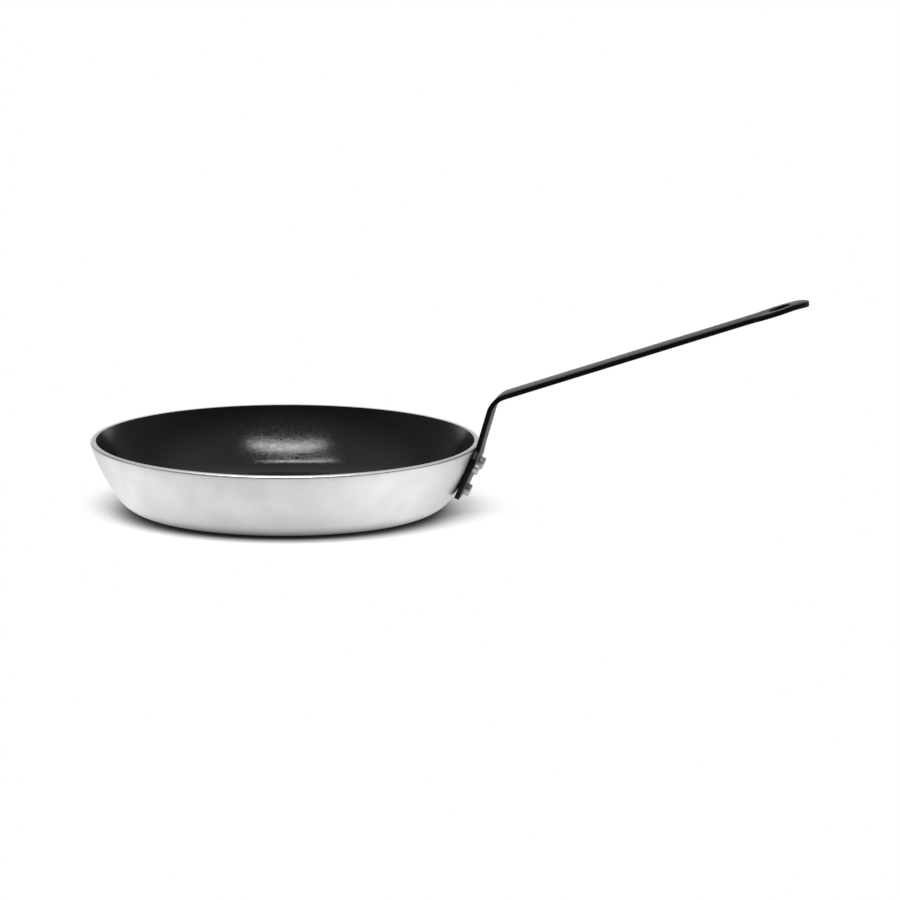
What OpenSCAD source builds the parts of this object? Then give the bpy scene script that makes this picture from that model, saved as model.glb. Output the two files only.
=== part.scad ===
// Omelette pan: a pressed aluminium dish with a non-stick lining, and a handle bent from flat
// steel strip that three rivets hold.
//
// Millimetres, +Z up. The origin is the centre of the flat base, on the surface that the pan
// stands on. The handle leaves along +X. Left and right are those of a cook who holds it, so
// left is -Y.

/* [Dish] */
// Outer diameter at the rim
rim_d = 280; // [200:1:360]
// Height of the rim above the surface that the pan stands on
dish_h = 50.5; // [42:0.1:70]
// Thickness of the aluminium, the same in the base and the side
wall_t = 4; // [3:0.1:6]
// Lean of the side from upright, just below the rim, in degrees
rim_lean = 17.7; // [12:0.1:22]
// Radius of the rim's outer edge, which runs over into its flat top
rim_round = 1.5; // [0.5:0.1:2.3]
// Radius of the long curve of the side, on its outer face
side_r = 130; // [100:1:200]
// Radius between the side and the base, on its outer face
corner_r = 27; // [15:0.5:36]

/* [Lining] */
// Thickness of the non-stick lining
lining_t = 0.3; // [0.2:0.05:0.5]

/* [Handle strip] */
// Thickness of the steel strip
strip_t = 3.5; // [2:0.1:5]
// Width of the strip along the riser and the grip
grip_w = 24; // [18:0.5:29]
// Lean of the riveted plate from upright, in degrees
plate_lean = 24.5; // [23:0.5:28]
// Length of the plate below the place where it lies against the side
plate_below = 21.5; // [20:0.5:24]
// Clearance between the plate and the side of the dish
seat_gap = 0.05; // [0.02:0.01:0.3]
// Clearance between the riser and the rim
rim_gap = 0.2; // [0.1:0.05:2]
// Radius of the shallow bend above the plate, on the face towards the dish
plate_bend_r = 45; // [20:1:60]
// Lean of the riser from upright, in degrees
riser_lean = 16.3; // [12:0.1:18]
// Length of the riser between the corners of its two bends
riser_len = 45.6; // [35:0.1:90]
// Radius of the bend between the riser and the grip, on its underside
main_bend_r = 16; // [8:0.5:25]
// Rise of the grip above level, in degrees
grip_rise = 18.8; // [5:0.1:35]
// Length of the grip, from the corner of that bend to the place where its nose turns down
grip_len = 228; // [180:0.5:320]

/* [Riveted plate] */
// Width of the plate
plate_w = 35; // [32:0.5:45]
// Radius of the plate's lower corners
plate_corner_r = 4; // [2:0.5:8]
// Height of the plate's shoulders above the line of the upper rivets
shoulder_rise = 3; // [2:0.5:6]
// Radius of the shoulders
shoulder_r = 8; // [4:0.5:12]
// Radius where the shoulders run into the riser
shoulder_neck_r = 10; // [5:0.5:20]

/* [Handle tip] */
// Greatest width of the paddle at the tip
paddle_w = 31.5; // [31:0.5:38]
// Radius of the paddle's long sides
paddle_side_r = 34; // [28:1:50]
// Radius where the grip widens into the paddle
paddle_neck_r = 20; // [10:1:40]
// Radius of the nose, seen from above
nose_r = 9; // [7:0.5:12]
// Length of the nose that turns down
nose_len = 13; // [8:0.5:14]
// Radius of the turned-down nose, on its underside
nose_bend_r = 45; // [25:1:90]
// Diameter of the hanging hole
hang_d = 16; // [8:0.5:17]
// Distance of the hanging hole's centre from the place where the nose turns down
hang_inset = 9; // [9:0.5:12]

/* [Rivets] */
// Diameter of a rivet's shank, and of the holes that it fills
shank_d = 5; // [4:0.1:6]
// Diameter of the outer head
head_d = 9; // [8:0.1:10]
// Height of the outer head above the strip
head_h = 3.9; // [2:0.1:5]
// Bevel round the top of the outer head
head_bevel = 0.8; // [0.3:0.1:1.5]
// Diameter of the inner head
inner_head_d = 12; // [9:0.1:14]
// Height of the inner head's dome above the lining
inner_head_h = 2.2; // [1.5:0.1:3]
// Height of the inner head's upright edge
inner_head_edge = 1; // [0.5:0.1:1.3]
// Distance between the centres of the two upper rivets
rivet_pitch = 22; // [16:0.5:24]
// Height of the upper rivets above the place where the plate lies against the side
upper_rivet_rise = 4.5; // [3:0.5:5]
// Depth of the lower rivet below that place
lower_rivet_drop = 15; // [12:0.5:15.5]

/* [Hidden] */

// Fineness of the preview's round faces
$fn = 180;

// Circles that only touch are grown by this, so that they cross and the outline has no step
weld = 0.004;

// How far a tool runs past what it cuts
run_out = 5;

// How far the outline's arcs run on past the place where a hollow arc takes over
overlap = 1;

// Unit vector at an angle from the first axis, in a plane
function heading(angle) = [cos(angle), sin(angle)];

// Section of the dish, with the radius along x and the height along y. The rim's round edge is
// centred on lip_c, the long curve of the side on side_c and the corner on corner_c. The two
// curves meet where both lean by knee_lean.
lip_c = [rim_d / 2 - rim_round, dish_h - rim_round];
side_c = lip_c - (side_r - rim_round) * heading(-rim_lean);
knee_lean = asin((side_c.y - corner_r) / (side_r - corner_r));
corner_c = side_c + (side_r - corner_r) * heading(-knee_lean);

// The strip's upper face in the plane of symmetry, x and height: the face that lies against
// the dish and then runs up the riser and along the top of the grip. The plate's corner is
// where its line meets that of the riser, which passes the rim at its clearance.
plate_touch = side_c + (side_r + seat_gap) * heading(-plate_lean);
nose_turn = asin(nose_len / (nose_bend_r + strip_t));
nose_reach = (nose_bend_r + strip_t) * tan(nose_turn / 2);
runs = [90 - plate_lean, 90 - riser_lean, grip_rise, grip_rise - nose_turn];
to_rim = (lip_c - plate_touch) * heading(runs[1] + 90);
plate_above = (rim_round + rim_gap - to_rim) / sin(plate_lean - riser_lean);
below_foot = plate_touch - (plate_below + run_out) * heading(runs[0]);
plate_corner = plate_touch + plate_above * heading(runs[0]);
main_corner = plate_corner + riser_len * heading(runs[1]);
nose_start = main_corner + grip_len * heading(runs[2]);
nose_corner = nose_start + nose_reach * heading(runs[2]);
beyond_nose = nose_corner + (nose_reach + run_out) * heading(runs[3]);

// Each bend: its corner on the upper face, the runs before and after it, its inner radius, and
// 1 where it turns up or -1 where it turns down
bends = [
    [plate_corner, runs[0], runs[1], plate_bend_r, 1],
    [main_corner, runs[1], runs[2], main_bend_r, -1],
    [nose_corner, runs[2], runs[3], nose_bend_r, -1]
];

// Places of the rivets on the plate: [height above plate_touch, distance to the left]
rivet_places = [
    [upper_rivet_rise, rivet_pitch / 2],
    [upper_rivet_rise, -rivet_pitch / 2],
    [-lower_rivet_drop, 0]
];

// Depth of the lining's face below the plate's inner face, along a rivet. The side falls away
// from the plate along its own curve and, across the plate, round the dish.
function lining_depth(place) =
    side_r + seat_gap - sqrt(pow(side_r - wall_t - lining_t, 2) - pow(place.x, 2))
    + pow(place.y, 2) / (2 * plate_touch.x) * cos(plate_lean);

// Half section of all that lies within the dish's outer face, sunk by a depth, up to where the
// side leans by an angle. A tool that cuts one out of another runs past its axis and its top by
// what is extra.
module dish_fill(depth, lean, extra = 0) {
    reach = 2 * side_r;
    height = side_c.y - depth + extra;
    translate([0, depth]) square([corner_c.x, height]);
    if (extra > 0) translate([-extra, depth]) square([2 * extra, height]);
    translate([corner_c.x, corner_r + weld]) intersection() {
        circle(corner_r + weld - depth);
        translate([0, -side_r]) square(side_r);
    }
    translate(side_c) intersection() {
        circle(side_r - depth);
        polygon([[0, 0], reach * heading(-knee_lean), reach * heading(-lean)]);
    }
}

// Half section of the layer of the dish between two depths, up to a lean of its side. The tool
// that hollows it has its side run on past the height of side_c.
module dish_layer(from, to, lean) {
    difference() {
        dish_fill(from, lean);
        dish_fill(to, -lean / 2, run_out);
    }
}

// Half section of such a layer up to the rim's flat top, which is turned after the lining is on
module turned_layer(from, to) {
    intersection() {
        dish_layer(from, to, rim_lean / 2);
        square([lip_c.x, dish_h]);
    }
}

// All that lies under an arc that crests at x = 0, at a height of half
module under_arc(half, r) {
    translate([0, half - r]) {
        circle(r);
        translate([-r, -2 * half - r]) square([2 * r, 2 * half + r]);
    }
}

// Outline that is bounded by such an arc on both sides, from x = 0 to a length
module crest(half, r, length) {
    intersection() {
        under_arc(half, r);
        mirror([0, 1]) under_arc(half, r);
        translate([0, -half]) square([length, 2 * half]);
    }
}

// Outline that narrows along x: first a round shoulder, then a hollow neck that runs smoothly
// into straight sides
module flare(wide, narrow, r_wide, r_narrow) {
    length = sqrt(pow(r_wide + r_narrow, 2) - pow(narrow + r_narrow - wide + r_wide, 2));
    meet = length * r_wide / (r_wide + r_narrow);
    crest(wide, r_wide, meet + overlap);
    difference() {
        translate([meet, -wide]) square([length - meet, 2 * wide]);
        for (side = [-1, 1]) translate([length, side * (narrow + r_narrow)]) circle(r_narrow + weld);
    }
}

// Outline of the plate, seen square to it, with x up the plate
module plate_outline() {
    shoulder = upper_rivet_rise + shoulder_rise;
    half = plate_w / 2;
    translate([plate_corner_r - plate_below, -half])
        square([plate_below - plate_corner_r + shoulder, plate_w]);
    translate([-plate_below, plate_corner_r - half])
        square([plate_below, plate_w - 2 * plate_corner_r]);
    for (side = [-1, 1])
        translate([plate_corner_r - plate_below, side * (half - plate_corner_r)]) circle(plate_corner_r);
    translate([shoulder, 0]) flare(half, grip_w / 2, shoulder_r, shoulder_neck_r);
}

// Outline of the paddle, seen square to the grip, with x = 0 where the nose turns down. Its
// long sides are arcs that the nose's arc meets smoothly.
module paddle_outline() {
    half = paddle_w / 2;
    crest_to_nose = sqrt(pow(paddle_side_r - nose_r, 2) - pow(paddle_side_r - half, 2));
    widest = nose_len - nose_r - crest_to_nose;
    meet = crest_to_nose * paddle_side_r / (paddle_side_r - nose_r);
    translate([nose_len - nose_r, 0]) circle(nose_r + weld);
    translate([widest, 0]) {
        crest(half, paddle_side_r, meet);
        mirror([1, 0]) flare(half, grip_w / 2, paddle_side_r, paddle_neck_r);
    }
}

// Point under a corner of the upper face, on the underside, where the runs a and b meet
function under(corner, a, b) = corner + strip_t / cos((b - a) / 2) * heading((a + b) / 2 - 90);

// Kite from a bend's centre out to the crossing of its two faces at a radius
module bend_kite(facing, turn, reach) {
    polygon([
        [0, 0],
        reach * heading(facing - turn / 2),
        reach / cos(turn / 2) * heading(facing),
        reach * heading(facing + turn / 2)
    ]);
}

// Places its children at a bend's centre
module at_bend(bend) {
    corner = bend[4] > 0 ? bend[0] : under(bend[0], bend[1], bend[2]);
    turn = abs(bend[2] - bend[1]);
    translate(corner + bend[3] / cos(turn / 2) * heading((bend[1] + bend[2]) / 2 + 90 * bend[4]))
        children();
}

// Part of a bend's kite that lies past a radius
module past_radius(bend, radius, reach) {
    at_bend(bend) difference() {
        bend_kite((bend[1] + bend[2]) / 2 - 90 * bend[4], abs(bend[2] - bend[1]), reach);
        circle(radius + weld);
    }
}

// Side view of the strip, run on past both its ends: drawn with sharp corners, then each bend
// is filled on its inner side and rounded on its outer side
module strip_side() {
    difference() {
        union() {
            polygon([
                under(below_foot, runs[0], runs[0]),
                for (bend = bends) under(bend[0], bend[1], bend[2]),
                under(beyond_nose, runs[3], runs[3]),
                beyond_nose,
                for (i = [len(bends) - 1 : -1 : 0]) bends[i][0],
                below_foot
            ]);
            for (bend = bends) past_radius(bend, bend[3], bend[3] + strip_t / 2);
        }
        for (bend = bends) past_radius(bend, bend[3] + strip_t, bend[3] + 2 * strip_t);
    }
}

// Places what is drawn on the plate's inner face: x up the plate, y to the left and z outwards
module on_plate() {
    translate([plate_touch.x, 0, plate_touch.y])
        rotate([0, plate_lean - 90, 0])
        rotate([180, 0, 0])
        children();
}

// Places what is drawn on the grip's upper face: x towards the nose, from where it turns down,
// and z upwards
module on_grip() {
    translate([nose_start.x, 0, nose_start.y])
        rotate([0, -grip_rise, 0])
        children();
}

// Prism of an outline, past both faces of the strip
module outline_prism() {
    translate([0, 0, -grip_w]) linear_extrude(height = 2 * grip_w) children();
}

// Space that the strip fills where its sides are straight, from the plate to the paddle
module straight_sides() {
    translate([plate_touch.x, -grip_w / 2, 0])
        cube([nose_start.x - hang_inset - plate_touch.x, grip_w, nose_start.y + grip_w]);
}

module rivet_holes() {
    for (place = rivet_places)
        on_plate()
            translate([place.x, place.y, -lining_depth(place) - run_out])
            cylinder(h = lining_depth(place) + strip_t + 2 * run_out, d = shank_d);
}

module pan_body() {
    color("silver")
        difference() {
            rotate_extrude() {
                turned_layer(0, wall_t);
                dish_layer(0, wall_t, rim_lean);
                translate([lip_c.x, lip_c.y - weld]) intersection() {
                    circle(rim_round + weld);
                    translate([0, -wall_t]) square(2 * wall_t);
                }
            }
            rivet_holes();
        }
}

module nonstick_lining() {
    color([0.12, 0.12, 0.12])
        difference() {
            rotate_extrude() turned_layer(wall_t, wall_t + lining_t);
            rivet_holes();
        }
}

module handle() {
    color([0.08, 0.08, 0.08])
        difference() {
            intersection() {
                rotate([90, 0, 0])
                    linear_extrude(height = plate_w + paddle_w, center = true)
                    strip_side();
                union() {
                    on_plate() outline_prism() plate_outline();
                    straight_sides();
                    on_grip() outline_prism() paddle_outline();
                }
            }
            rivet_holes();
            on_grip()
                translate([-hang_inset, 0, -strip_t - run_out])
                cylinder(h = strip_t + 2 * run_out, d = hang_d);
        }
}

// Inner head of a rivet: a low dome that is cut to the lining's curve
module inner_head(place) {
    r = inner_head_d / 2;
    crown = inner_head_h - inner_head_edge;
    dome_r = (r * r + crown * crown) / (2 * crown);
    top = -lining_depth(place) - inner_head_h;
    difference() {
        on_plate()
            translate([place.x, place.y, top])
            intersection() {
                cylinder(h = inner_head_h + wall_t / 2, r = r);
                translate([0, 0, dome_r]) sphere(dome_r);
            }
        rotate_extrude() dish_layer(0, wall_t + lining_t, rim_lean);
    }
}

module rivet(place) {
    root = -lining_depth(place) - inner_head_edge;
    color("gainsboro") {
        on_plate() translate([place.x, place.y, 0]) {
            translate([0, 0, root]) cylinder(h = strip_t + head_h / 2 - root, d = shank_d);
            translate([0, 0, strip_t])
                rotate_extrude()
                polygon([
                    [0, 0],
                    [head_d / 2, 0],
                    [head_d / 2, head_h - head_bevel],
                    [head_d / 2 - head_bevel, head_h],
                    [0, head_h]
                ]);
        }
        inner_head(place);
    }
}

pan_body();
nonstick_lining();
handle();
rivet(rivet_places[0]);  // rivet_upper_left
rivet(rivet_places[1]);  // rivet_upper_right
rivet(rivet_places[2]);  // rivet_lower
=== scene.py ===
"""Omelette pan: every piece as it looks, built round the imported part.

Metres, +Z up, in the part's own frame. The origin is the centre of the flat base, the handle leaves
along +X, and the cook who holds it has -Y on the left.
"""
import logging
import math
from collections.abc import Callable
from dataclasses import dataclass
from enum import Enum

import bpy
from bpy.types import Material, MeshPolygon, Node, NodeSocket, NodeTree, Object
from mathutils import Matrix, Vector


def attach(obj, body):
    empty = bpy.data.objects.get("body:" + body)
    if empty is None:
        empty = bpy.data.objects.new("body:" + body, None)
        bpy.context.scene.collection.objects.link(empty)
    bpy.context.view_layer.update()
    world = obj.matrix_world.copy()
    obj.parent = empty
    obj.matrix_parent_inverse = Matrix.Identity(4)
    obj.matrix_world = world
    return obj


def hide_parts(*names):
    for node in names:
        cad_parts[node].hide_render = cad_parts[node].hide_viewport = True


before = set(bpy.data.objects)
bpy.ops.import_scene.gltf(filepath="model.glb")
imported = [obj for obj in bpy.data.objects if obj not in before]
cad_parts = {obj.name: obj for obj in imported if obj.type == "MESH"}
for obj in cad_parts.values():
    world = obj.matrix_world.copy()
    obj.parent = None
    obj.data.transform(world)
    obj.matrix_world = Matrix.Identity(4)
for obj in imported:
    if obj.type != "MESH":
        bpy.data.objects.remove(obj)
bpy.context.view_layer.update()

log = logging.getLogger("omelette_pan")

MM = 0.001
# Points closer than this are one point
MERGE = 0.001 * MM
WHITE = (1, 1, 1, 1)
# Leaves X and Y of a place or a direction, and drops Z
LEVEL = (1, 1, 0)
# What a node's input can be given
NodeInput = float | tuple | Vector | NodeSocket | Node
NodeInputs = dict[str | int, NodeInput]


class Slot(Enum):
    """The part's own material slots."""

    DISH = "pressed_aluminium"
    LINING = "nonstick_coating"
    HANDLE = "coated_steel"
    RIVET = "rivet_aluminium"


class Plane(Enum):
    """The plane in which an outline is drawn, with the axis round which its arcs turn left."""

    SIDE = (0, 1, 0)
    TOP = (0, 0, -1)

    def place(self, point: Vector) -> Vector:
        """Puts a point that is drawn in this plane in space.

        Args:
            point: the point in the plane.

        Returns:
            The point in space.
        """
        if self is Plane.SIDE:
            return Vector((point.x, 0, point.y))
        return Vector((point.x, point.y, 0))


def heading(degrees: float) -> Vector:
    """Returns the unit vector of a plane at an angle from its first axis."""
    return Vector((math.cos(math.radians(degrees)), math.sin(math.radians(degrees))))


def linear(colour: str) -> tuple[float, float, float, float]:
    """Turns a colour as it is seen into the linear one that a shader needs.

    Args:
        colour: sRGB as six hex digits after a hash.

    Returns:
        Linear red, green, blue and an alpha of 1.
    """
    parts = [int(colour[i : i + 2], 16) / 255 for i in (1, 3, 5)]
    red, green, blue = [c / 12.92 if c <= 0.04045 else ((c + 0.055) / 1.055) ** 2.4 for c in parts]
    return red, green, blue, 1.0


def add_node(
    tree: NodeTree, kind: str, inputs: NodeInputs | None = None, **settings: object
) -> Node:
    """Adds a node with its settings and links.

    Args:
        tree: the tree that gets the node.
        kind: the node's type.
        inputs: for each input's name or number a value, another node's output socket, or another
            node whose first output is meant.
        settings: the node's own properties.

    Returns:
        The new node.
    """
    node = tree.nodes.new(kind)
    for name, value in settings.items():
        setattr(node, name, value)
    for key, value in (inputs or {}).items():
        if isinstance(value, Node):
            value = value.outputs[0]
        if isinstance(value, NodeSocket):
            tree.links.new(value, node.inputs[key])
        else:
            node.inputs[key].default_value = value
    return node


def empty_material(name: str) -> Material:
    """Adds a material whose node tree is empty.

    Args:
        name: its name.

    Returns:
        The new material.
    """
    material = bpy.data.materials.new(name)
    material.use_nodes = True
    material.node_tree.nodes.clear()
    return material


def add_surface(tree: NodeTree, relief: Node, height: float, inputs: NodeInputs) -> None:
    """Adds the end of a finish: its shader, with fine relief on it, and the output.

    Args:
        tree: the finish's node tree.
        relief: the pattern that stands up from the surface.
        height: how high it stands.
        inputs: the shader's other inputs.
    """
    bump = add_node(
        tree, "ShaderNodeBump", {"Height": relief, "Distance": height, "Strength": 1.0}
    )
    shader = add_node(tree, "ShaderNodeBsdfPrincipled", {**inputs, "Normal": bump})
    add_node(tree, "ShaderNodeOutputMaterial", {"Surface": shader})


def select_faces(piece: Object, test: Callable[[MeshPolygon], bool]) -> None:
    """Selects the faces of a piece that pass a test, and leaves it in edit mode.

    Args:
        piece: the active piece.
        test: whether a face is selected.
    """
    bpy.ops.object.mode_set(mode="EDIT")
    bpy.ops.mesh.select_mode(type="FACE")
    bpy.ops.mesh.select_all(action="DESELECT")
    bpy.ops.object.mode_set(mode="OBJECT")
    for face in piece.data.polygons:
        face.select = test(face)
    bpy.ops.object.mode_set(mode="EDIT")


class Outline:
    """An outline that one travelling point draws: it extrudes the lines and spins the arcs."""

    def __init__(self, name: str, start: Vector, plane: Plane) -> None:
        """Starts an outline and leaves it in edit mode.

        Args:
            name: the name of the piece that it becomes.
            start: where the point starts in the plane.
            plane: the plane that it is drawn in.
        """
        self.plane = plane
        self.at = start
        bpy.ops.object.select_all(action="DESELECT")
        bpy.ops.mesh.primitive_plane_add(size=MM)
        self.piece = bpy.context.object
        self.piece.name = name
        bpy.ops.object.mode_set(mode="EDIT")
        bpy.ops.mesh.select_mode(type="VERT")
        bpy.ops.mesh.select_all(action="SELECT")
        bpy.ops.mesh.merge(type="CENTER")
        bpy.ops.transform.translate(value=plane.place(start))

    def line(self, to: Vector, parts: int = 1) -> None:
        """Draws a straight stretch.

        Args:
            to: the point of the plane where it ends.
            parts: the number of its equal parts.
        """
        step = self.plane.place((to - self.at) / parts)
        for _ in range(parts):
            bpy.ops.mesh.extrude_region_move(TRANSFORM_OT_translate={"value": step})
        self.at = to

    def arc(self, centre: Vector, turn: float, parts: int) -> None:
        """Draws an arc.

        Args:
            centre: its centre in the plane.
            turn: its turn in degrees, to the left where it is positive.
            parts: the number of its equal parts.
        """
        angle = math.radians(turn)
        bpy.ops.mesh.spin(
            steps=parts, angle=angle, center=self.plane.place(centre), axis=self.plane.value
        )
        self.at = centre + Matrix.Rotation(angle, 2) @ (self.at - centre)

    def end(self) -> Object:
        """Merges the points that meet, and leaves edit mode.

        Returns:
            The outline.
        """
        bpy.ops.mesh.select_all(action="SELECT")
        bpy.ops.mesh.remove_doubles(threshold=MERGE)
        bpy.ops.object.mode_set(mode="OBJECT")
        return self.piece


def revolve(section: Object, parts: int) -> Object:
    """Turns a half section, which starts and ends on the Z axis, into a closed round shell.

    Args:
        section: an outline in the side plane.
        parts: the number of its steps round the axis.

    Returns:
        The same object, now the shell.
    """
    bpy.ops.object.mode_set(mode="EDIT")
    bpy.ops.mesh.select_all(action="SELECT")
    bpy.ops.mesh.spin(steps=parts, angle=math.tau, center=(0, 0, 0), axis=(0, 0, 1))
    bpy.ops.mesh.select_all(action="SELECT")
    bpy.ops.mesh.remove_doubles(threshold=MERGE)
    bpy.ops.mesh.normals_make_consistent(inside=False)
    bpy.ops.object.mode_set(mode="OBJECT")
    return section


def smooth(piece: Object, degrees: float = 30) -> None:
    """Shades a piece smooth.

    Args:
        piece: the piece.
        degrees: the angle beyond which an edge stays sharp.
    """
    bpy.ops.object.select_all(action="DESELECT")
    piece.select_set(True)
    bpy.context.view_layer.objects.active = piece
    bpy.ops.object.shade_smooth_by_angle(angle=math.radians(degrees))


def hand_over(piece: Object, slot: Slot, *nodes: str) -> None:
    """Lets a finished piece stand for its nodes and ride on the pan.

    Args:
        piece: the piece.
        slot: its material slot; not used.
        nodes: the part's nodes that it stands for.
    """
    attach(piece, "root")
    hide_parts(*nodes)
    log.info("%s: %d faces", piece.name, len(piece.data.polygons))


@dataclass(frozen=True)
class SatinAluminium:
    """Pressed aluminium, brushed round and round on a lathe with a soft wheel.

    The eye gets a pale, silky grey that blurs what it reflects, drawn out up the side by the round
    marks, with faint cloudy patches where the wheel bit less.
    """

    name: str = "pressed_aluminium_satin_brushed"
    colour: str = "#d6d6d7"
    cloud_colour: str = "#d0d0d1"
    roughness: float = 0.38
    rough_spread: float = 0.05
    anisotropic: float = 0.5
    # The real marks are about 0.1 mm apart, which is too fine to show, so they are drawn wider
    mark_spacing: float = 0.9 * MM
    mark_height: float = 0.004 * MM
    mark_turns: float = 2.5
    cloud_size: float = 22 * MM
    # The levels of the clouds, and of clouds and marks together, that the finish runs between
    cloud_levels: tuple[float, float] = (0.35, 0.7)
    mixed_levels: tuple[float, float] = (0.7, 1.3)

    def make(self) -> Material:
        """Makes the finish in nodes.

        Returns:
            The material.
        """
        material = empty_material(self.name)
        tree = material.node_tree
        place = add_node(tree, "ShaderNodeTexCoord").outputs["Object"]
        flat = add_node(tree, "ShaderNodeVectorMath", {0: place, 1: LEVEL}, operation="MULTIPLY")
        radius = add_node(tree, "ShaderNodeVectorMath", {0: flat}, operation="LENGTH")
        bearing = add_node(tree, "ShaderNodeVectorMath", {0: flat}, operation="NORMALIZE")
        axial = add_node(tree, "ShaderNodeSeparateXYZ", {0: place})
        along = add_node(
            tree, "ShaderNodeMath",
            {0: radius.outputs["Value"], 1: axial.outputs["Z"]}, operation="ADD",
        )
        along_marks = add_node(
            tree, "ShaderNodeMath", {0: along, 1: 1 / self.mark_spacing}, operation="MULTIPLY"
        )
        spread = add_node(
            tree, "ShaderNodeVectorMath", {0: bearing, 3: self.mark_turns}, operation="SCALE"
        )
        marks = add_node(
            tree, "ShaderNodeTexNoise",
            {"Vector": spread, "W": along_marks, "Scale": 1.0, "Detail": 3.0, "Roughness": 0.6},
            noise_dimensions="4D",
        )
        clouds = add_node(
            tree, "ShaderNodeTexNoise",
            {"Vector": place, "Scale": 1 / self.cloud_size, "Detail": 3.0, "Roughness": 0.45},
        )
        cloudy = add_node(
            tree, "ShaderNodeMapRange",
            {"Value": clouds, "From Min": self.cloud_levels[0], "From Max": self.cloud_levels[1]},
            interpolation_type="SMOOTHSTEP",
        )
        colour = add_node(
            tree, "ShaderNodeMix",
            {0: cloudy, 6: linear(self.colour), 7: linear(self.cloud_colour)},
            data_type="RGBA",
        )
        mixed = add_node(tree, "ShaderNodeMath", {0: marks, 1: clouds}, operation="ADD")
        roughness = add_node(
            tree, "ShaderNodeMapRange",
            {
                "Value": mixed,
                "From Min": self.mixed_levels[0], "From Max": self.mixed_levels[1],
                "To Min": self.roughness - self.rough_spread,
                "To Max": self.roughness + self.rough_spread,
            },
        )
        tangent = add_node(tree, "ShaderNodeTangent", direction_type="RADIAL", axis="Z")
        add_surface(tree, marks, self.mark_height, {
            "Base Color": colour.outputs[2], "Metallic": 1.0, "Roughness": roughness,
            "Anisotropic": self.anisotropic, "Tangent": tangent,
        })
        return material


@dataclass(frozen=True)
class TurnedAluminium:
    """Aluminium turned with a keen tool and left bright, as the edge of the rim is.

    The eye gets a narrow shining band, whiter and sharper than the side below it.
    """

    name: str = "aluminium_turned_bright"
    colour: str = "#efeff0"
    roughness: float = 0.34
    # The tool's real marks are about 0.05 mm apart, which is too fine to show
    mark_spacing: float = 0.5 * MM
    mark_height: float = 0.002 * MM

    def make(self) -> Material:
        """Makes the finish in nodes.

        Returns:
            The material.
        """
        material = empty_material(self.name)
        tree = material.node_tree
        place = add_node(tree, "ShaderNodeTexCoord").outputs["Object"]
        flat = add_node(tree, "ShaderNodeVectorMath", {0: place, 1: LEVEL}, operation="MULTIPLY")
        radius = add_node(tree, "ShaderNodeVectorMath", {0: flat}, operation="LENGTH")
        marks = add_node(
            tree, "ShaderNodeTexNoise",
            {"W": radius.outputs["Value"], "Scale": 1 / self.mark_spacing, "Detail": 2.0},
            noise_dimensions="1D",
        )
        add_surface(tree, marks, self.mark_height, {
            "Base Color": linear(self.colour), "Metallic": 1.0, "Roughness": self.roughness,
        })
        return material


@dataclass(frozen=True)
class NonStickCoating:
    """Black PTFE, sprayed in two coats over blasted aluminium and baked.

    The eye gets a deep soft black that turns grey where it mirrors a light, and the fine grain of
    the blasting breaks that light into sparkling points.
    """

    name: str = "ptfe_sprayed_and_baked"
    colour: str = "#131313"
    roughness: float = 0.14
    rough_spread: float = 0.06
    ior: float = 1.38
    # The real grain is about 0.1 mm, which is too fine to show, so it is drawn coarser
    grain_size: float = 1.3 * MM
    grain_height: float = 0.06 * MM
    # Flecks that bake smoother or rougher than the rest, also drawn coarser than they are
    fleck_size: float = 1.1 * MM
    fleck_levels: tuple[float, float] = (0.25, 0.75)

    def make(self) -> Material:
        """Makes the finish in nodes.

        Returns:
            The material.
        """
        material = empty_material(self.name)
        tree = material.node_tree
        place = add_node(tree, "ShaderNodeTexCoord").outputs["Object"]
        grain = add_node(
            tree, "ShaderNodeTexNoise",
            {"Vector": place, "Scale": 1 / self.grain_size, "Detail": 2.0, "Roughness": 0.7},
        )
        flecks = add_node(
            tree, "ShaderNodeTexVoronoi", {"Vector": place, "Scale": 1 / self.fleck_size}
        )
        roughness = add_node(
            tree, "ShaderNodeMapRange",
            {
                "Value": flecks.outputs["Color"],
                "From Min": self.fleck_levels[0], "From Max": self.fleck_levels[1],
                "To Min": self.roughness - self.rough_spread,
                "To Max": self.roughness + self.rough_spread,
            },
        )
        add_surface(tree, grain, self.grain_height, {
            "Base Color": linear(self.colour), "Roughness": roughness, "IOR": self.ior,
        })
        return material


@dataclass(frozen=True)
class BakedBlackCoat:
    """Black polyester powder, baked on the steel strip.

    The eye gets a plain satin black with a very slight orange peel, greyer where it is seen along
    its surface.
    """

    name: str = "black_powder_coat_baked"
    colour: str = "#030303"
    roughness: float = 0.35
    rough_spread: float = 0.021
    ior: float = 1.22
    peel_size: float = 1.1 * MM
    peel_height: float = 0.012 * MM
    peel_levels: tuple[float, float] = (0.3, 0.7)

    def make(self) -> Material:
        """Makes the finish in nodes.

        Returns:
            The material.
        """
        material = empty_material(self.name)
        tree = material.node_tree
        place = add_node(tree, "ShaderNodeTexCoord").outputs["Object"]
        peel = add_node(
            tree, "ShaderNodeTexNoise",
            {"Vector": place, "Scale": 1 / self.peel_size, "Detail": 1.5, "Roughness": 0.4},
        )
        roughness = add_node(
            tree, "ShaderNodeMapRange",
            {
                "Value": peel,
                "From Min": self.peel_levels[0], "From Max": self.peel_levels[1],
                "To Min": self.roughness - self.rough_spread,
                "To Max": self.roughness + self.rough_spread,
            },
        )
        add_surface(tree, peel, self.peel_height, {
            "Base Color": linear(self.colour), "Roughness": roughness, "IOR": self.ior,
        })
        return material


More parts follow.
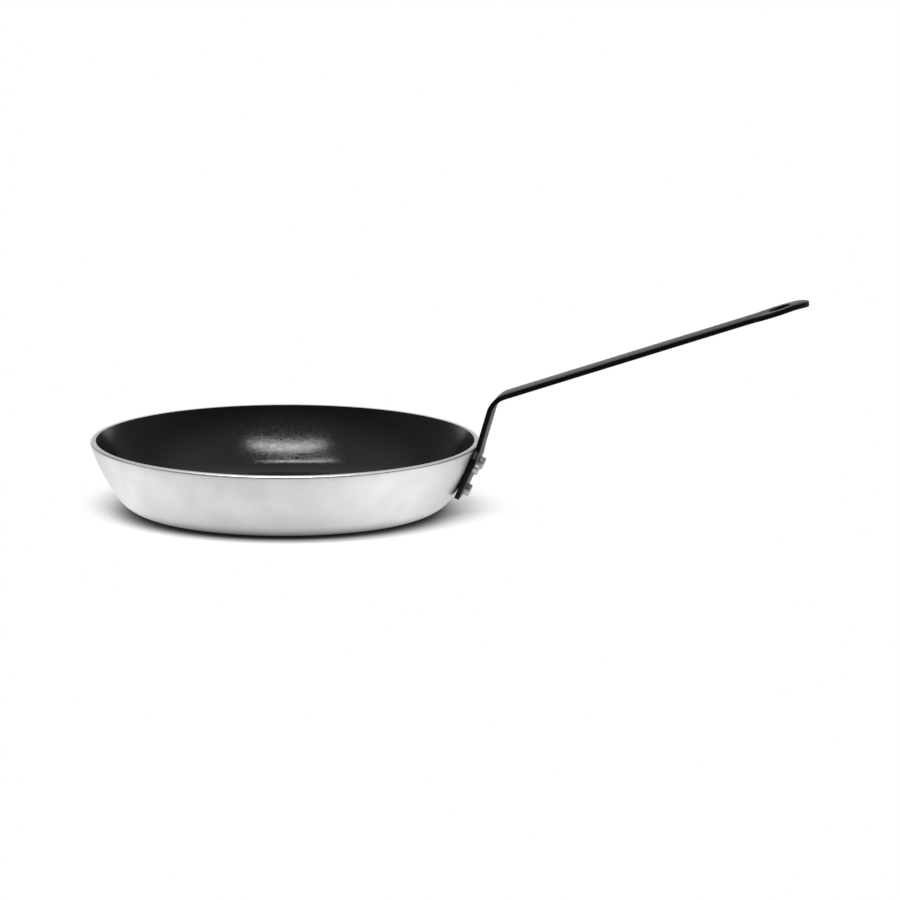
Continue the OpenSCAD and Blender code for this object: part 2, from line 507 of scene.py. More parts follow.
@dataclass(frozen=True)
class HeadedAluminium:
    """Soft aluminium wire, its head struck cold in a die.

    The eye gets a bare metal, duller and greyer than the dish, with the die's faint scuffs.
    """

    name: str = "aluminium_cold_headed"
    colour: str = "#b0b0b0"
    roughness: float = 0.45
    rough_spread: float = 0.06
    scuff_size: float = 1.2 * MM
    scuff_height: float = 0.01 * MM
    scuff_levels: tuple[float, float] = (0.3, 0.7)

    def make(self) -> Material:
        """Makes the finish in nodes.

        Returns:
            The material.
        """
        material = empty_material(self.name)
        tree = material.node_tree
        place = add_node(tree, "ShaderNodeTexCoord").outputs["Object"]
        scuffs = add_node(
            tree, "ShaderNodeTexNoise",
            {"Vector": place, "Scale": 1 / self.scuff_size, "Detail": 4.0, "Roughness": 0.6},
        )
        roughness = add_node(
            tree, "ShaderNodeMapRange",
            {
                "Value": scuffs,
                "From Min": self.scuff_levels[0], "From Max": self.scuff_levels[1],
                "To Min": self.roughness - self.rough_spread,
                "To Max": self.roughness + self.rough_spread,
            },
        )
        add_surface(tree, scuffs, self.scuff_height, {
            "Base Color": linear(self.colour), "Metallic": 1.0, "Roughness": roughness,
        })
        return material


@dataclass
class Dish:
    """The pressed dish and the lining on its inside, each a round shell of its own."""

    rim_radius: float = 140 * MM
    height: float = 50.5 * MM
    wall: float = 4 * MM
    rim_lean: float = 17.7
    rim_round: float = 1.5 * MM
    side_radius: float = 130 * MM
    corner_radius: float = 27 * MM
    lining: float = 0.3 * MM
    # How far down the rim's round edge the turning tool reached
    turned_share: float = 0.3
    parts_round: int = 288
    base_parts: int = 6
    corner_parts: int = 14
    side_parts: int = 16
    rim_parts: int = 10

    def __post_init__(self) -> None:
        """Works out where the section's round stretches are centred, and where they meet."""
        self.lip_centre = Vector((self.rim_radius - self.rim_round, self.height - self.rim_round))
        to_lip = self.side_radius - self.rim_round
        self.side_centre = self.lip_centre - to_lip * heading(-self.rim_lean)
        reach = self.side_radius - self.corner_radius
        self.knee_lean = math.degrees(math.asin((self.side_centre.y - self.corner_radius) / reach))
        self.corner_centre = self.side_centre + reach * heading(-self.knee_lean)

    def top_lean(self, depth: float) -> float:
        """Returns the side's lean at a depth below its outer face, where it meets the rim's top."""
        rise = self.side_centre.y - self.height
        return math.degrees(math.asin(rise / (self.side_radius - depth)))

    def top_edge(self, depth: float) -> Vector:
        """Returns the point of the section at that place."""
        return self.side_centre + (self.side_radius - depth) * heading(-self.top_lean(depth))

    def draw_outwards(self, pen: Outline, depth: float, lean: float) -> None:
        """Draws the section's base, corner and side, out from the axis.

        Args:
            pen: what draws it.
            depth: how far it lies inside the dish's outer face.
            lean: the side's lean where it ends.
        """
        pen.line(Vector((self.corner_centre.x, depth)), self.base_parts)
        pen.arc(self.corner_centre, 90 - self.knee_lean, self.corner_parts)
        pen.arc(self.side_centre, self.knee_lean - lean, self.side_parts)

    def draw_inwards(self, pen: Outline, depth: float) -> None:
        """Draws the same stretches the other way, from the rim's flat top to the axis.

        Args:
            pen: what draws them.
            depth: how far they lie inside the dish's outer face.
        """
        pen.arc(self.side_centre, self.top_lean(depth) - self.knee_lean, self.side_parts)
        pen.arc(self.corner_centre, self.knee_lean - 90, self.corner_parts)
        pen.line(Vector((0, depth)), self.base_parts)

    def build_body(self, side: Material, rim: Material) -> None:
        """Builds the dish, whose rim has a flat top with a round outer edge.

        Args:
            side: the finish of the whole dish.
            rim: the finish of the rim, which is turned last.
        """
        pen = Outline("dish", Vector((0, 0)), Plane.SIDE)
        self.draw_outwards(pen, 0, self.rim_lean)
        pen.arc(self.lip_centre, 90 + self.rim_lean, self.rim_parts)
        pen.line(self.top_edge(self.wall))
        self.draw_inwards(pen, self.wall)
        dish = revolve(pen.end(), self.parts_round)
        dish.data.materials.append(side)
        dish.data.materials.append(rim)
        turned = self.height - self.turned_share * self.rim_round
        for face in dish.data.polygons:
            face.material_index = 1 if face.center.z > turned else 0
        smooth(dish)
        hand_over(dish, Slot.DISH, "pan_body")

    def build_lining(self, finish: Material) -> None:
        """Builds the lining, whose edge is turned flush with the rim's flat top.

        Args:
            finish: its finish.
        """
        pen = Outline("nonstick_lining", Vector((0, self.wall)), Plane.SIDE)
        self.draw_outwards(pen, self.wall, self.top_lean(self.wall))
        pen.line(self.top_edge(self.wall + self.lining))
        self.draw_inwards(pen, self.wall + self.lining)
        lining = revolve(pen.end(), self.parts_round)
        lining.data.materials.append(finish)
        smooth(lining)
        hand_over(lining, Slot.LINING, "nonstick_lining")


@dataclass
class StripHandle:
    """The handle: cut flat from steel strip, its edges eased, and then bent three times."""

    dish: Dish
    thickness: float = 3.5 * MM
    grip_width: float = 24 * MM
    seat_gap: float = 0.05 * MM
    rim_gap: float = 0.2 * MM
    plate_lean: float = 24.5
    riser_lean: float = 16.3
    grip_rise: float = 18.8
    plate_below: float = 21.5 * MM
    riser_length: float = 45.6 * MM
    grip_length: float = 228 * MM
    plate_bend: float = 45 * MM
    main_bend: float = 16 * MM
    nose_bend: float = 45 * MM
    plate_width: float = 35 * MM
    plate_corner: float = 4 * MM
    shoulder_above: float = 7.5 * MM
    shoulder: float = 8 * MM
    shoulder_neck: float = 10 * MM
    paddle_width: float = 31.5 * MM
    paddle_side: float = 34 * MM
    paddle_neck: float = 20 * MM
    nose: float = 9 * MM
    nose_length: float = 13 * MM
    hole_diameter: float = 16 * MM
    hole_inset: float = 9 * MM
    eased_edge: float = 0.25 * MM
    eased_parts: int = 3
    corner_parts: int = 8
    paddle_neck_parts: int = 10
    paddle_side_parts: int = 16
    hole_parts: int = 24
    path_parts: int = 48
    # How far one part of a bend turns at most, in degrees, and how many parts a bend has at least
    bend_step: float = 2.5
    least_parts: int = 8
    # Edges sharper than this many degrees are eased
    sharp: float = 60

    def __post_init__(self) -> None:
        """Works out the path of the strip's upper face, in the plane of symmetry."""
        dish = self.dish
        reach = dish.side_radius + self.seat_gap
        self.touch = dish.side_centre + reach * heading(-self.plate_lean)
        nose_turn = math.degrees(math.asin(self.nose_length / (self.nose_bend + self.thickness)))
        self.runs = [
            90 - self.plate_lean,
            90 - self.riser_lean,
            self.grip_rise,
            self.grip_rise - nose_turn,
        ]
        # Radius of each bend on the upper face, with 1 for a turn to the left and -1 to the right
        self.bends = [
            (self.plate_bend, 1),
            (self.main_bend + self.thickness, -1),
            (self.nose_bend + self.thickness, -1),
        ]
        to_rim = (dish.lip_centre - self.touch).dot(heading(self.runs[1] + 90))
        plate_above = (dish.rim_round + self.rim_gap - to_rim) / math.sin(
            math.radians(self.plate_lean - self.riser_lean)
        )
        cut = [
            radius * math.tan(math.radians(self.turn(i) / 2))
            for i, (radius, _) in enumerate(self.bends)
        ]
        self.straights = [
            self.plate_below + plate_above - cut[0],
            self.riser_length - cut[0] - cut[1],
            self.grip_length - cut[1],
        ]

    def turn(self, bend: int) -> float:
        """Returns by how many degrees the strip turns in a bend."""
        return abs(self.runs[bend + 1] - self.runs[bend])

    def bend_length(self, bend: int) -> float:
        """Returns the length of a bend along the upper face."""
        return self.bends[bend][0] * math.radians(self.turn(bend))

    def bend_start(self, bend: int) -> float:
        """Returns how far along the flat blank a bend starts."""
        return sum(self.straights[: bend + 1]) + sum(self.bend_length(i) for i in range(bend))

    @staticmethod
    def flare(wide: float, narrow: float, r_wide: float, r_narrow: float) -> tuple[float, float]:
        """Returns the length and the angle of a round shoulder that runs into a hollow neck.

        Args:
            wide: half the width at the shoulder.
            narrow: half the width after the neck.
            r_wide: radius of the shoulder.
            r_narrow: radius of the neck.

        Returns:
            The length along the strip, and the turn of each arc in degrees.
        """
        both = r_wide + r_narrow
        turn = math.acos((both - wide + narrow) / both)
        return both * math.sin(turn), math.degrees(turn)

    def draw_blank(self) -> Object:
        """Draws one half of the flat blank's outline, from the foot (x = 0) to the nose.

        Returns:
            The outline, closed along the middle.
        """
        half_plate, half_grip = self.plate_width / 2, self.grip_width / 2
        pen = Outline("handle", Vector((0, 0)), Plane.TOP)
        pen.line(Vector((0, half_plate - self.plate_corner)))
        pen.arc(Vector((self.plate_corner, half_plate - self.plate_corner)), -90, self.corner_parts)
        shoulder_at = self.plate_below + self.shoulder_above
        pen.line(Vector((shoulder_at, half_plate)))
        length, turn = self.flare(half_plate, half_grip, self.shoulder, self.shoulder_neck)
        shoulder_centre = Vector((shoulder_at, half_plate - self.shoulder))
        neck_centre = Vector((shoulder_at + length, half_grip + self.shoulder_neck))
        pen.arc(shoulder_centre, -turn, self.corner_parts)
        pen.arc(neck_centre, turn, self.corner_parts)
        self.draw_paddle(pen)
        pen.line(Vector((0, 0)))
        return pen.end()

    def draw_paddle(self, pen: Outline) -> None:
        """Draws one half of the paddle, from the grip round the nose and past the hanging hole.

        Args:
            pen: what draws it, at the end of the plate's neck.
        """
        half_grip, half_paddle = self.grip_width / 2, self.paddle_width / 2
        nose_centre = self.bend_start(2) + self.nose_length - self.nose
        reach = self.paddle_side - self.nose
        to_nose = math.sqrt(reach**2 - (self.paddle_side - half_paddle) ** 2)
        side_turn = math.degrees(math.asin(to_nose / reach))
        widest = nose_centre - to_nose
        length, turn = self.flare(half_paddle, half_grip, self.paddle_side, self.paddle_neck)
        neck_start = Vector((widest - length, half_grip))
        pen.line(neck_start)
        pen.arc(neck_start + Vector((0, self.paddle_neck)), turn, self.paddle_neck_parts)
        side_centre = Vector((widest, half_paddle - self.paddle_side))
        pen.arc(side_centre, -turn - side_turn, self.paddle_side_parts)
        pen.arc(Vector((nose_centre, 0)), side_turn - 90, self.corner_parts)
        hole_at = self.bend_start(2) - self.hole_inset
        pen.line(Vector((hole_at + self.hole_diameter / 2, 0)))
        pen.arc(Vector((hole_at, 0)), 180, self.hole_parts)

    def cut_across(self, places: list[float]) -> None:
        """Cuts the blank across, so that it can bend there.

        Args:
            places: how far along the blank each cut lies.
        """
        for place in places:
            bpy.ops.mesh.select_all(action="SELECT")
            bpy.ops.mesh.bisect(plane_co=(place, 0, 0), plane_no=(1, 0, 0))

    def draw_path(self) -> Object:
        """Draws the path of the upper face, from the foot to the nose.

        Returns:
            The path, as a curve.
        """
        start = self.touch - self.plate_below * heading(self.runs[0])
        pen = Outline("handle_path", start, Plane.SIDE)
        for i, (radius, side) in enumerate(self.bends):
            pen.line(pen.at + self.straights[i] * heading(self.runs[i]))
            centre = pen.at + radius * heading(self.runs[i] + 90 * side)
            pen.arc(centre, side * self.turn(i), self.path_parts)
        pen.line(pen.at + self.nose_length * heading(self.runs[3]))
        path = pen.end()
        bpy.ops.object.convert(target="CURVE")
        return path

    def build(self, finish: Material) -> None:
        """Cuts the blank, eases its edges, and bends it along its path.

        Args:
            finish: its finish.
        """
        path = self.draw_path()
        blank = self.draw_blank()
        bpy.ops.object.mode_set(mode="EDIT")
        bpy.ops.mesh.select_all(action="SELECT")
        bpy.ops.mesh.edge_face_add()
        bpy.ops.mesh.extrude_region_move(TRANSFORM_OT_translate={"value": (0, 0, -self.thickness)})
        # The cut along the middle is left open, because the other half closes it
        select_faces(blank, lambda face: abs(face.normal.y) > 0.99 and abs(face.center.y) < MERGE)
        bpy.ops.mesh.delete(type="FACE")
        bpy.ops.object.mode_set(mode="OBJECT")
        mirror = blank.modifiers.new("other_half", "MIRROR")
        mirror.use_axis = (False, True, False)
        mirror.merge_threshold = MERGE
        bpy.ops.object.modifier_apply(modifier=mirror.name)
        bpy.ops.object.mode_set(mode="EDIT")
        bpy.ops.mesh.select_all(action="SELECT")
        bpy.ops.mesh.normals_make_consistent(inside=False)
        bpy.ops.mesh.select_all(action="DESELECT")
        bpy.ops.mesh.select_mode(type="EDGE")
        bpy.ops.mesh.edges_select_sharp(sharpness=math.radians(self.sharp))
        bpy.ops.mesh.bevel(
            offset=self.eased_edge, segments=self.eased_parts, affect="EDGES", clamp_overlap=False
        )
        for bend in range(len(self.bends)):
            start, length = self.bend_start(bend), self.bend_length(bend)
            cuts = max(self.least_parts, round(self.turn(bend) / self.bend_step))
            self.cut_across([start + length * i / cuts for i in range(cuts + 1)])
        bpy.ops.object.mode_set(mode="OBJECT")
        follow = blank.modifiers.new("bends", "CURVE")
        follow.object = path
        follow.deform_axis = "POS_X"
        bpy.ops.object.modifier_apply(modifier=follow.name)
        bpy.data.objects.remove(path)
        blank.data.materials.append(finish)
        smooth(blank, 40)
        hand_over(blank, Slot.HANDLE, "handle")


@dataclass
class Rivets:
    """The three rivets: low domes on the lining, and drum-shaped heads on the plate."""

    dish: Dish
    handle: StripHandle
    shank: float = 5 * MM
    # The shank's faces lie within this share of its diameter, and those of the heads beyond it
    shank_reach: float = 0.6
    head: float = 9 * MM
    head_height: float = 3.9 * MM
    head_round: float = 0.8 * MM
    inner_head: float = 12 * MM
    inner_height: float = 2.2 * MM
    inner_edge: float = 1 * MM
    sunk: float = 1 * MM
    pitch: float = 22 * MM
    upper_rise: float = 4.5 * MM
    lower_drop: float = 15 * MM
    parts_round: int = 48
    dome_parts: int = 12
    edge_parts: int = 5

    def places(self) -> dict[str, Vector]:
        """Places the rivets on the plate.

        Returns:
            Each rivet's place: up the plate from the touching line, and to the left.
        """
        return {
            "rivet_upper_left": Vector((self.upper_rise, self.pitch / 2)),
            "rivet_upper_right": Vector((self.upper_rise, -self.pitch / 2)),
            "rivet_lower": Vector((-self.lower_drop, 0)),
        }

    def lining_depth(self, place: Vector) -> float:
        """Returns how far the lining's face lies below the plate's inner face.

        Args:
            place: the rivet's place on the plate.

        Returns:
            That depth along the rivet.
        """
        dish, handle = self.dish, self.handle
        inner = math.sqrt((dish.side_radius - dish.wall - dish.lining) ** 2 - place.x**2)
        across = place.y**2 / (2 * handle.touch.x) * math.cos(math.radians(handle.plate_lean))
        return dish.side_radius + handle.seat_gap - inner + across

    def draw_section(self, name: str, lining: float, seat: float) -> Object:
        """Draws half a rivet's section, from the top of its dome to the middle of its head.

        Args:
            name: the rivet's name.
            lining: the height of the lining's face, above the plate's inner face.
            seat: the height of the plate's outer face.

        Returns:
            The section, in the side plane.
        """
        half, flat = self.inner_head / 2, self.head / 2 - self.head_round
        crown = self.inner_height - self.inner_edge
        dome = (half**2 + crown**2) / (2 * crown)
        tip, top = lining - self.inner_height, seat + self.head_height
        pen = Outline(name, Vector((0, tip)), Plane.SIDE)
        pen.arc(Vector((0, dome + tip)), math.degrees(math.asin(half / dome)), self.dome_parts)
        pen.line(Vector((half, lining + self.sunk)))
        pen.line(Vector((self.shank / 2, lining + self.sunk)))
        pen.line(Vector((self.shank / 2, seat)))
        pen.line(Vector((self.head / 2, seat)))
        pen.line(Vector((self.head / 2, top - self.head_round)))
        pen.arc(Vector((flat, top - self.head_round)), 90, self.edge_parts)
        pen.line(Vector((0, top)))
        return pen.end()

    def build_one(
        self, name: str, place: Vector, finish: Material, shank_painted_shade: Material
    ) -> None:
        """Builds one rivet upright on the Z axis, and then seats it square to the plate.

        Args:
            name: the rivet's name.
            place: its place on the plate.
            finish: the finish of its heads.
            shank_painted_shade: the dark finish of its shank, painted shade for where it shows in
                the shadowed gap between plate and wall.
        """
        seat = self.handle.thickness
        lining = -self.lining_depth(place)
        rivet = revolve(self.draw_section(name, lining, seat), self.parts_round)
        rivet.data.materials.append(finish)
        rivet.data.materials.append(shank_painted_shade)
        # The shank's faces get a dark finish: painted shade where the shank shows in the shadowed
        # gap between the plate and the wall
        for face in rivet.data.polygons:
            near_axis = math.hypot(face.center.x, face.center.y) < self.shank_reach * self.shank
            painted_shade_on_shank = near_axis and lining + self.sunk < face.center.z < seat
            face.material_index = 1 if painted_shade_on_shank else 0
        lean = math.radians(90 + self.handle.plate_lean)
        bpy.ops.object.mode_set(mode="EDIT")
        bpy.ops.mesh.select_all(action="SELECT")
        bpy.ops.transform.rotate(value=-lean, orient_axis="Y", center_override=(0, 0, 0))
        at = self.handle.touch + place.x * heading(self.handle.runs[0])
        bpy.ops.transform.translate(value=(at.x, -place.y, at.y))
        bpy.ops.object.mode_set(mode="OBJECT")
        smooth(rivet)
        hand_over(rivet, Slot.RIVET, name)

    def build(self, finish: Material, shank_painted_shade: Material) -> None:
        """Builds the three rivets.

        Args:
            finish: the finish of their heads.
            shank_painted_shade: the dark finish of their shanks, painted shade for where they show
                in the shadowed gap between plate and wall.
        """
        for name, place in self.places().items():
            self.build_one(name, place, finish, shank_painted_shade)


def towards(azimuth: float, elevation: float = 0.0) -> Vector:
    """Returns the unit vector from the pan to a place in the studio.

    Args:
        azimuth: how far the place lies to the right of -Y, in degrees.
        elevation: how far it lies above the horizon, in degrees.

    Returns:
        The unit vector.
    """
    a, e = math.radians(azimuth), math.radians(elevation)
    return Vector((math.sin(a) * math.cos(e), -math.cos(a) * math.cos(e), math.sin(e)))


@dataclass(frozen=True)
class Softbox:
    """An oval softbox that faces the pan, and that the camera doesn't see."""

    name: str
    azimuth: float
    elevation: float
    away: float
    size: tuple[float, float]
    # How bright its face is, where 1 is white
    radiance: float
    # How far it is turned about its own axis, in degrees
    roll: float = 0.0
    mirrored: bool = True

    def add(self) -> None:
        """Adds the lamp."""
        back = towards(self.azimuth, self.elevation)
        bpy.ops.object.light_add(type="AREA", location=back * self.away)
        lamp = bpy.context.object
        lamp.name = self.name
        lamp.rotation_euler = back.to_track_quat("Z", "Y").to_euler()
        lamp.rotation_euler.rotate_axis("Z", math.radians(self.roll))
        lamp.visible_camera = False
        lamp.visible_glossy = self.mirrored
        width, height = self.size
        lamp.data.shape = "ELLIPSE"
        lamp.data.size, lamp.data.size_y = width, height
        lamp.data.energy = self.radiance * math.pi * (math.pi / 4 * width * height)


@dataclass
class Studio:
    """The camera, the white floor, the lamps and the world."""

    azimuth: float = 9.5
    elevation: float = 10.8
    distance: float = 12.0
    farthest: float = 100.0
    frame_width: float = 0.64701
    sensor: float = 36.0
    # From the middle of the rim to what the camera aims at, along the picture's right and up
    aim_right: float = 0.1185
    aim_up: float = -0.0073
    rim_height: float = 50.5 * MM
    floor_size: float = 40.0

    # The backdrop: the heights between which it fades, and how bright it stays above them
    backdrop_edge: tuple[float, float] = (0.04, 0.13)
    backdrop_rest: float = 0.2
    # How much higher it reaches behind the pan, and how far round, where -1 is straight behind
    backdrop_rise: float = 0.15
    rise_edge: tuple[float, float] = (-0.95, -0.8)
    # How far round it fades out, where 1 is the camera's side, and what glows there low and high
    behind_edge: tuple[float, float] = (-0.1, 0.95)
    front_edge: tuple[float, float] = (0.1, 0.35)
    front_low: float = 0.3
    front_high: float = 0.03
    # The ceiling: the heights between which it starts, and how bright it is
    ceiling_edge: tuple[float, float] = (0.4, 0.75)
    ceiling_glow: float = 0.55

    # The floor as it is mirrored, a painted glow that only reflections see: how bright its sides
    # and front are, and its rear's share of that
    side_glow: float = 1.5
    front_glow: float = 1.0
    rear_share: float = 0.45
    # How far to the left of the camera its dimmest part lies, in degrees
    glow_turn: float = 12.0
    sides_edge: tuple[float, float] = (0.5, 1.0)
    rear_edge: tuple[float, float] = (-0.5, 0.5)
    # How far round, where 1 is the camera's side, the painted glow dims in front
    mirrored_glow_front: tuple[float, float] = (0.3, 0.8)
    # Distances from the pan's middle between which the painted glow fades out in front
    mirrored_glow_edge: tuple[float, float] = (0.18, 0.26)

    # The shadow: where it fades to plain white, and where a painted glow partly lightens it as it
    # is mirrored
    shadow_edge: tuple[float, float] = (0.11, 0.17)
    lift_edge: tuple[float, float] = (0.1, 0.122)
    shadow_lift: float = 0.75
    # The close shadow, painted dark into the paper's colour under the pan's side: how far ahead it
    # lies, where it ends, and the painted tone in it and the paper's own tone outside it
    shadow_ahead: float = 6 * MM
    painted_shadow_edge: tuple[float, float] = (0.102, 0.132)
    painted_shadow_and_paper_tones: tuple[float, float] = (0.08, 0.93)

    softboxes: tuple[Softbox, ...] = (
        Softbox("key_softbox", 8.5, 56, 2.0, (1.55, 0.14), 35),
        # Turned so that its long side lies across the picture
        Softbox("overhead_softbox", -10, 71, 2.0, (1.3, 0.22), 19, roll=19.5),
        Softbox("left_fill", -72, 14, 0.9, (0.9, 0.3), 2.5, mirrored=False),
        Softbox("right_fill", 84, 14, 0.9, (0.9, 0.3), 2.5, mirrored=False),
    )

    def add_camera(self) -> None:
        """Adds the camera at the photograph's angle, far off and with a long lens."""
        right = towards(self.azimuth + 90)
        back = towards(self.azimuth, self.elevation)
        up = back.cross(right)
        aim = Vector((0, 0, self.rim_height)) + self.aim_right * right + self.aim_up * up
        bpy.ops.object.camera_add(location=aim + back * self.distance)
        camera = bpy.context.object
        camera.rotation_euler = back.to_track_quat("Z", "Y").to_euler()
        camera.data.sensor_width = self.sensor
        camera.data.lens = self.sensor * self.distance / self.frame_width
        camera.data.clip_end = self.farthest
        bpy.context.scene.camera = camera

    def add_world(self) -> None:
        """Adds the studio: a white backdrop low down behind the pan, and a glowing ceiling above.

        The camera's side is dim, apart from the ceiling, and only the camera sees white all round.
        """
        world = bpy.data.worlds.new("studio")
        world.use_nodes = True
        tree = world.node_tree
        tree.nodes.clear()
        direction = add_node(tree, "ShaderNodeTexCoord").outputs["Generated"]
        height = add_node(tree, "ShaderNodeSeparateXYZ", {0: direction}).outputs["Z"]
        flat = add_node(
            tree, "ShaderNodeVectorMath", {0: direction, 1: LEVEL}, operation="MULTIPLY"
        )
        level = add_node(tree, "ShaderNodeVectorMath", {0: flat}, operation="NORMALIZE")
        forward = add_node(
            tree, "ShaderNodeVectorMath",
            {0: level, 1: towards(self.azimuth)}, operation="DOT_PRODUCT",
        ).outputs["Value"]
        rise = add_node(
            tree, "ShaderNodeMapRange",
            {
                "Value": forward, "From Min": self.rise_edge[0], "From Max": self.rise_edge[1],
                "To Min": self.backdrop_rise, "To Max": 0.0,
            },
            interpolation_type="SMOOTHSTEP",
        )
        above = add_node(tree, "ShaderNodeMath", {0: height, 1: rise}, operation="SUBTRACT")
        backdrop = add_node(
            tree, "ShaderNodeMapRange",
            {
                "Value": above,
                "From Min": self.backdrop_edge[0], "From Max": self.backdrop_edge[1],
                "To Min": 1.0, "To Max": self.backdrop_rest,
            },
            interpolation_type="SMOOTHSTEP",
        )
        front = add_node(
            tree, "ShaderNodeMapRange",
            {
                "Value": height, "From Min": self.front_edge[0], "From Max": self.front_edge[1],
                "To Min": self.front_low, "To Max": self.front_high,
            },
        )
        behind = add_node(
            tree, "ShaderNodeMapRange",
            {
                "Value": forward, "From Min": self.behind_edge[0], "From Max": self.behind_edge[1],
                "To Min": 1.0, "To Max": front,
            },
            interpolation_type="SMOOTHSTEP",
        )
        ceiling = add_node(
            tree, "ShaderNodeMapRange",
            {
                "Value": height, "From Min": self.ceiling_edge[0], "From Max": self.ceiling_edge[1],
                "To Min": 0.0, "To Max": self.ceiling_glow,
            },
            interpolation_type="SMOOTHSTEP",
        )
        glow = add_node(
            tree, "ShaderNodeMath", {0: backdrop, 1: behind, 2: ceiling}, operation="MULTIPLY_ADD"
        )
        seen = add_node(tree, "ShaderNodeLightPath").outputs["Is Camera Ray"]
        strength = add_node(tree, "ShaderNodeMath", {0: glow, 1: seen}, operation="MAXIMUM")
        light = add_node(tree, "ShaderNodeBackground", {"Color": WHITE, "Strength": strength})
        add_node(tree, "ShaderNodeOutputWorld", {"Surface": light})
        bpy.context.scene.world = world

    def floor_glow(self, tree: NodeTree, place: NodeSocket, radius: NodeSocket) -> NodeSocket:
        """Adds a painted glow that the floor shows only where metal or paint mirrors it.

        It is brighter to the left and right than in front, and dims in front beyond a distance from
        the pan's middle.

        Args:
            tree: the floor's node tree.
            place: the place on the floor.
            radius: its distance from the pan's middle.

        Returns:
            The brightness, where 1 is white.
        """
        level = add_node(tree, "ShaderNodeVectorMath", {0: place}, operation="NORMALIZE")
        front = add_node(
            tree, "ShaderNodeVectorMath",
            {0: level, 1: towards(self.azimuth - self.glow_turn)},
            operation="DOT_PRODUCT",
        ).outputs["Value"]
        sides = add_node(
            tree, "ShaderNodeMapRange",
            {
                "Value": front, "From Min": self.sides_edge[0], "From Max": self.sides_edge[1],
                "To Min": self.side_glow, "To Max": self.front_glow,
            },
        )
        rear = add_node(
            tree, "ShaderNodeMapRange",
            {
                "Value": front, "From Min": self.rear_edge[0], "From Max": self.rear_edge[1],
                "To Min": self.rear_share, "To Max": 1.0,
            },
        )
        painted_tone = add_node(tree, "ShaderNodeMath", {0: sides, 1: rear}, operation="MULTIPLY")
        painted_glow_fade = add_node(
            tree, "ShaderNodeMapRange",
            {
                "Value": radius, "From Min": self.mirrored_glow_edge[0], "From Max": self.mirrored_glow_edge[1],
                "To Min": 1.0, "To Max": 0.0,
            },
            interpolation_type="SMOOTHSTEP",
        )
        behind = add_node(
            tree, "ShaderNodeMapRange",
            {
                "Value": front, "From Min": self.mirrored_glow_front[0], "From Max": self.mirrored_glow_front[1],
                "To Min": 1.0, "To Max": self.front_low,
            },
            interpolation_type="SMOOTHSTEP",
        )
        lit = add_node(tree, "ShaderNodeMath", {0: painted_glow_fade, 1: behind}, operation="MAXIMUM")
        return add_node(
            tree, "ShaderNodeMath", {0: painted_tone, 1: lit}, operation="MULTIPLY"
        ).outputs[0]

    def floor_paper(self, tree: NodeTree, place: NodeSocket) -> NodeSocket:
        """Adds the floor's paper, with a close shadow painted dark into its colour under the pan's
        side.

        Args:
            tree: the floor's node tree.
            place: the place on the floor.

        Returns:
            The paper's shader.
        """
        ahead = -self.shadow_ahead * towards(self.azimuth)
        shadow = add_node(tree, "ShaderNodeVectorMath", {0: place, 1: ahead}, operation="ADD")
        near = add_node(
            tree, "ShaderNodeVectorMath", {0: shadow}, operation="LENGTH"
        ).outputs["Value"]
        # Painted shadow: the paper's colour darkens towards the pan's side, a little ahead of it
        painted_tone = add_node(
            tree, "ShaderNodeMapRange",
            {
                "Value": near, "From Min": self.painted_shadow_edge[0], "From Max": self.painted_shadow_edge[1],
                "To Min": self.painted_shadow_and_paper_tones[0], "To Max": self.painted_shadow_and_paper_tones[1],
            },
            interpolation_type="SMOOTHSTEP",
        )
        return add_node(tree, "ShaderNodeBsdfDiffuse", {"Color": painted_tone}).outputs[0]

    def add_floor(self) -> None:
        """Adds a white floor that keeps the pan's shadow, with a shadow painted into its colour
        under the pan's side and a painted glow where it is mirrored, and is plain white away from
        it.
        """
        bpy.ops.mesh.primitive_plane_add(size=self.floor_size)
        floor = bpy.context.object
        floor.name = "floor"
        material = empty_material("paper_white_matt")
        tree = material.node_tree
        place = add_node(tree, "ShaderNodeTexCoord").outputs["Object"]
        radius = add_node(
            tree, "ShaderNodeVectorMath", {0: place}, operation="LENGTH"
        ).outputs["Value"]
        fade = add_node(
            tree, "ShaderNodeMapRange",
            {"Value": radius, "From Min": self.shadow_edge[0], "From Max": self.shadow_edge[1]},
            interpolation_type="SMOOTHSTEP",
        )
        path = add_node(tree, "ShaderNodeLightPath").outputs
        glossy = path["Is Glossy Ray"]
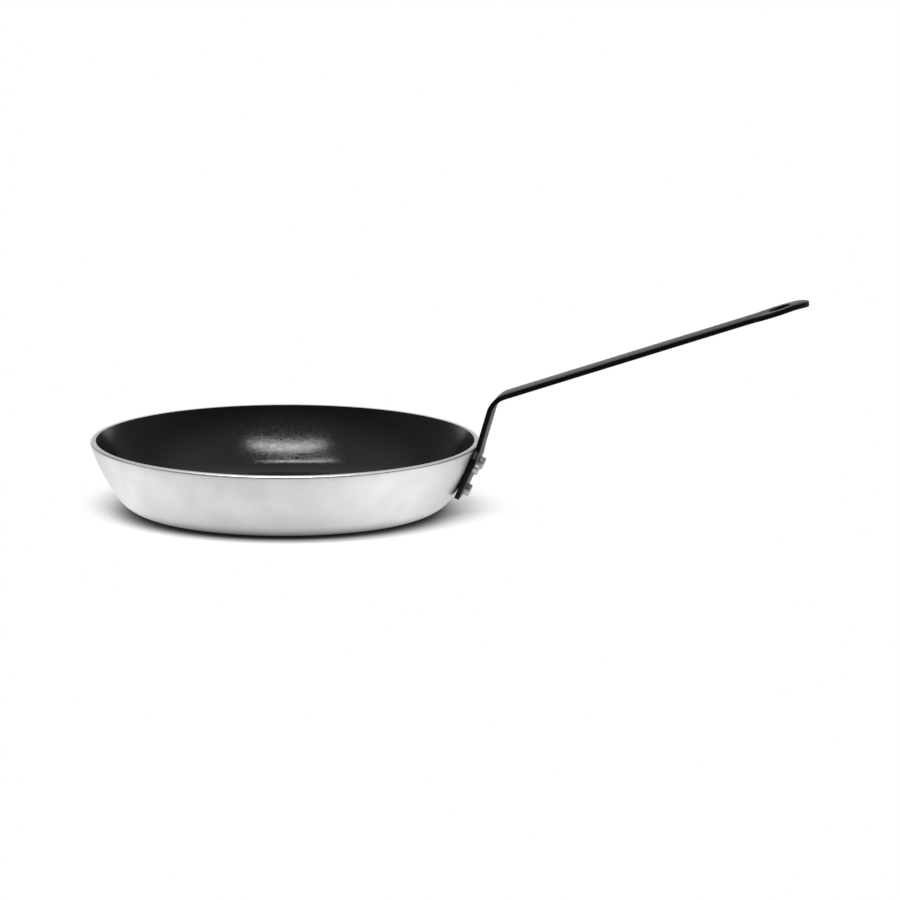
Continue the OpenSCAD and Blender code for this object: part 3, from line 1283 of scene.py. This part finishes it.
        # Where metal or paint mirrors it, a painted white glow lightens the shadow under the pan's
        # side
        lift = add_node(
            tree, "ShaderNodeMapRange",
            {
                "Value": radius, "From Min": self.lift_edge[0], "From Max": self.lift_edge[1],
                "To Min": 0.0, "To Max": self.shadow_lift,
            },
            interpolation_type="SMOOTHSTEP",
        )
        lifted = add_node(tree, "ShaderNodeMath", {0: glossy, 1: lift}, operation="MULTIPLY")
        whitened = add_node(tree, "ShaderNodeMath", {0: fade, 1: lifted}, operation="MAXIMUM")
        shown = glossy
        for ray in ("Is Camera Ray", "Is Transmission Ray"):
            shown = add_node(
                tree, "ShaderNodeMath", {0: shown, 1: path[ray]}, operation="MAXIMUM"
            ).outputs[0]
        part = add_node(tree, "ShaderNodeMath", {0: whitened, 1: shown}, operation="MULTIPLY")
        # Painted glow: only reflections see the floor brighter or dimmer than plain white
        mirrored = add_node(
            tree, "ShaderNodeMath",
            {0: self.floor_glow(tree, place, radius), 1: 1.0}, operation="SUBTRACT",
        )
        strength = add_node(
            tree, "ShaderNodeMath", {0: glossy, 1: mirrored, 2: 1.0}, operation="MULTIPLY_ADD"
        )
        white = add_node(tree, "ShaderNodeEmission", {"Color": WHITE, "Strength": strength})
        both = add_node(
            tree, "ShaderNodeMixShader", {0: part, 1: self.floor_paper(tree, place), 2: white}
        )
        add_node(tree, "ShaderNodeOutputMaterial", {"Surface": both})
        floor.data.materials.append(material)

    def build(self) -> None:
        """Builds the whole studio."""
        bpy.context.scene.view_settings.view_transform = "Standard"
        self.add_camera()
        self.add_world()
        self.add_floor()
        for softbox in self.softboxes:
            softbox.add()


def main() -> None:
    """Builds the studio and the pan."""
    logging.basicConfig(level=logging.INFO)
    Studio().build()
    dish = Dish()
    dish.build_body(SatinAluminium().make(), TurnedAluminium().make())
    dish.build_lining(NonStickCoating().make())
    handle = StripHandle(dish)
    handle.build(BakedBlackCoat().make())
    # The shanks' dark grey is painted shade for the shadowed gap between the plate and the dish's
    # wall; the metal itself is no darker
    shank = HeadedAluminium(name="aluminium_shank_painted_shade", colour="#3c3c3c", roughness=0.6)
    Rivets(dish, handle).build(HeadedAluminium().make(), shank.make())


if __name__ == "__main__":
    main()
